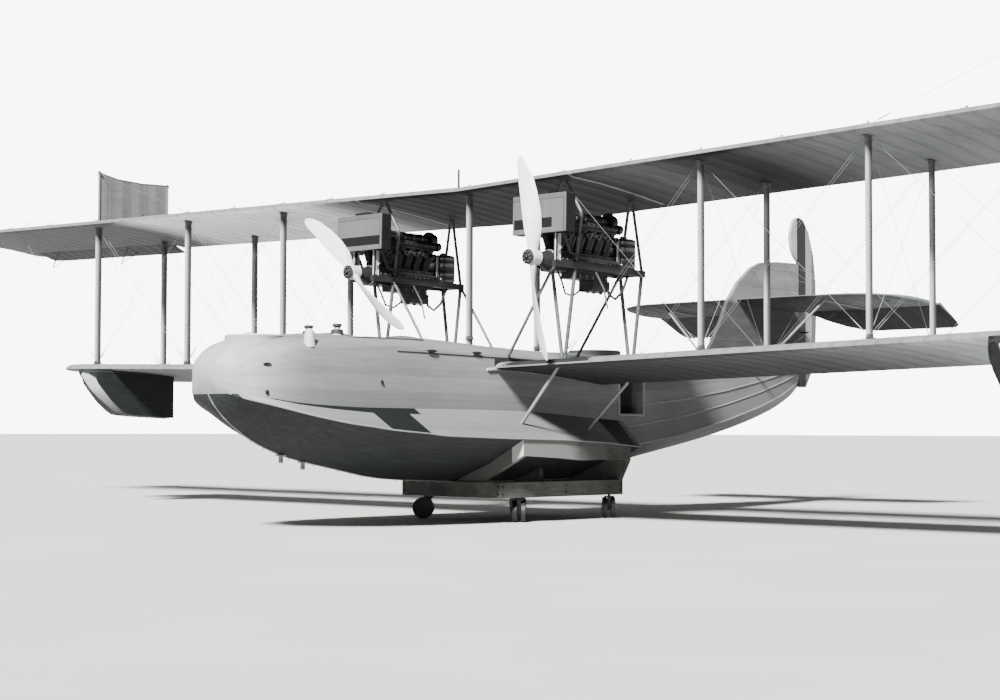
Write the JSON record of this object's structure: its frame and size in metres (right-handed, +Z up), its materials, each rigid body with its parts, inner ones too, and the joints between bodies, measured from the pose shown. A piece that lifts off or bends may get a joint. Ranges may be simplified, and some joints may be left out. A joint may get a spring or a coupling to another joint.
{
  "type": "flying boat",
  "caption": "Twin-engine biplane flying boat with planing hull, tip floats and large tail, parked on a four-caster timber handling truck.",
  "frame": {"origin": "on the ground, under the middle of the whole boat", "axes": "+X to port, +Y aft (the bow points to -Y), +Z up"},
  "size_m": [31.63, 14.8518, 6.545],
  "materials": {
    "hull_paint": "grey enamel on planked plywood, satin",
    "wing_fabric": "doped linen, satin grey",
    "strut_spruce": "painted spruce, satin",
    "float_paint": "dark bottom paint, satin",
    "engine_black": "black enamel, oily",
    "radiator_metal": "painted shutters over a brass core",
    "tank_metal": "dark painted sheet, glossy",
    "propeller_paint": "off-white enamel on laminated wood, glossy",
    "truck_timber": "weathered painted timber, matt",
    "caster_iron": "dark iron, matt"
  },
  "bodies": {
    "boat": {"hull": "hull_paint", "wind_screen_port": "hull_paint", "wind_screen_starboard": "hull_paint", "upper_wing_centre": "wing_fabric", "upper_wing_port": "wing_fabric", "lower_wing_port": "wing_fabric", "top_panel_port": "wing_fabric", "tip_float_port": "float_paint", "upper_wing_starboard": "wing_fabric", "lower_wing_starboard": "wing_fabric", "top_panel_starboard": "wing_fabric", "tip_float_starboard": "float_paint", "centre_strut_front": "strut_spruce", "strut_1_front_port": "strut_spruce", "strut_1_front_starboard": "strut_spruce", "strut_2_front_port": "strut_spruce", "strut_2_front_starboard": "strut_spruce", "strut_3_front_port": "strut_spruce", "strut_3_front_starboard": "strut_spruce", "centre_strut_rear": "strut_spruce", "strut_1_rear_port": "strut_spruce", "strut_1_rear_starboard": "strut_spruce", "strut_2_rear_port": "strut_spruce", "strut_2_rear_starboard": "strut_spruce", "strut_3_rear_port": "strut_spruce", "strut_3_rear_starboard": "strut_spruce", "engine_mount_port": "strut_spruce", "engine_port": "engine_black", "radiator_port": "radiator_metal", "oil_tank_port": "tank_metal", "engine_mount_starboard": "strut_spruce", "engine_starboard": "engine_black", "radiator_starboard": "radiator_metal", "oil_tank_starboard": "tank_metal", "stabiliser": "wing_fabric", "fin": "wing_fabric", "tail_stays_port": "strut_spruce", "fin_brace_front_port": "strut_spruce", "fin_brace_rear_port": "strut_spruce", "tail_stays_starboard": "strut_spruce", "fin_brace_front_starboard": "strut_spruce", "fin_brace_rear_starboard": "strut_spruce", "truck_frame": "truck_timber"},
    "propeller_port": {"propeller_port": "propeller_paint"},
    "propeller_starboard": {"propeller_starboard": "propeller_paint"},
    "rudder": {"rudder": "wing_fabric"},
    "elevator_port": {"elevator_port": "wing_fabric"},
    "elevator_starboard": {"elevator_starboard": "wing_fabric"},
    "aileron_port": {"aileron_port": "wing_fabric"},
    "aileron_starboard": {"aileron_starboard": "wing_fabric"},
    "caster_front_port": {"caster_fork_front_port": "caster_iron"},
    "wheel_front_port": {"caster_wheel_front_port": "caster_iron"},
    "caster_front_starboard": {"caster_fork_front_starboard": "caster_iron"},
    "wheel_front_starboard": {"caster_wheel_front_starboard": "caster_iron"},
    "caster_rear_port": {"caster_fork_rear_port": "caster_iron"},
    "wheel_rear_port": {"caster_wheel_rear_port": "caster_iron"},
    "caster_rear_starboard": {"caster_fork_rear_starboard": "caster_iron"},
    "wheel_rear_starboard": {"caster_wheel_rear_starboard": "caster_iron"}
  },
  "joints": [
    {"name": "propeller_spin_port", "type": "hinge", "parent": "boat", "child": "propeller_port", "pos_m": [2.02, -2.85485, 4.01424], "axis": [0, -0.9998, 0.0209], "continuous": true},
    {"name": "propeller_spin_starboard", "type": "hinge", "parent": "boat", "child": "propeller_starboard", "pos_m": [-2.02, -2.85485, 4.01424], "axis": [0, -0.9998, 0.0209], "continuous": true},
    {"name": "rudder_swing", "type": "hinge", "parent": "boat", "child": "rudder", "pos_m": [0, 6.865, 3.6], "axis": [0, 0, 1], "range_deg": [-25, 25]},
    {"name": "elevator_swing_port", "type": "hinge", "parent": "boat", "child": "elevator_port", "pos_m": [1.5, 6.66, 3.732], "axis": [1, 0, 0], "range_deg": [0, 52]},
    {"name": "elevator_swing_starboard", "type": "hinge", "parent": "boat", "child": "elevator_starboard", "pos_m": [-1.5, 6.66, 3.732], "axis": [1, 0, 0], "range_deg": [0, 52]},
    {"name": "aileron_swing_port", "type": "hinge", "parent": "boat", "child": "aileron_port", "pos_m": [13, -0.44535, 5.32225], "axis": [0.9997, 0, 0.0234], "range_deg": [-8, 42]},
    {"name": "aileron_swing_starboard", "type": "hinge", "parent": "boat", "child": "aileron_starboard", "pos_m": [-13, -0.44535, 5.32225], "axis": [0.9997, 0, -0.0234], "range_deg": [-8, 42]},
    {"name": "caster_swivel_front_port", "type": "hinge", "parent": "boat", "child": "caster_front_port", "pos_m": [1.01, -2.09, 0.42], "axis": [0, 0, 1], "continuous": true},
    {"name": "wheel_roll_front_port", "type": "hinge", "parent": "caster_front_port", "child": "wheel_front_port", "pos_m": [0.95095, -2.02886, 0.17], "axis": [0.7193, 0.6947, 0], "continuous": true},
    {"name": "caster_swivel_front_starboard", "type": "hinge", "parent": "boat", "child": "caster_front_starboard", "pos_m": [-1.01, -2.09, 0.42], "axis": [0, 0, 1], "continuous": true},
    {"name": "wheel_roll_front_starboard", "type": "hinge", "parent": "caster_front_starboard", "child": "wheel_front_starboard", "pos_m": [-1.07511, -2.14464, 0.17], "axis": [-0.6428, 0.766, 0], "continuous": true},
    {"name": "caster_swivel_rear_port", "type": "hinge", "parent": "boat", "child": "caster_rear_port", "pos_m": [1.01, 0.055, 0.42], "axis": [0, 0, 1], "continuous": true},
    {"name": "wheel_roll_rear_port", "type": "hinge", "parent": "caster_rear_port", "child": "wheel_rear_port", "pos_m": [0.94886, 0.11405, 0.17], "axis": [0.6947, 0.7193, 0], "continuous": true},
    {"name": "caster_swivel_rear_starboard", "type": "hinge", "parent": "boat", "child": "caster_rear_starboard", "pos_m": [-1.01, 0.055, 0.42], "axis": [0, 0, 1], "continuous": true},
    {"name": "wheel_roll_rear_starboard", "type": "hinge", "parent": "caster_rear_starboard", "child": "wheel_rear_starboard", "pos_m": [-1.08361, 0.0975, 0.17], "axis": [0.5, 0.866, 0], "continuous": true}
  ],
  "couplings": [
    {"joint": "elevator_swing_starboard", "follows": "elevator_swing_port", "ratio": 1}
  ]
}
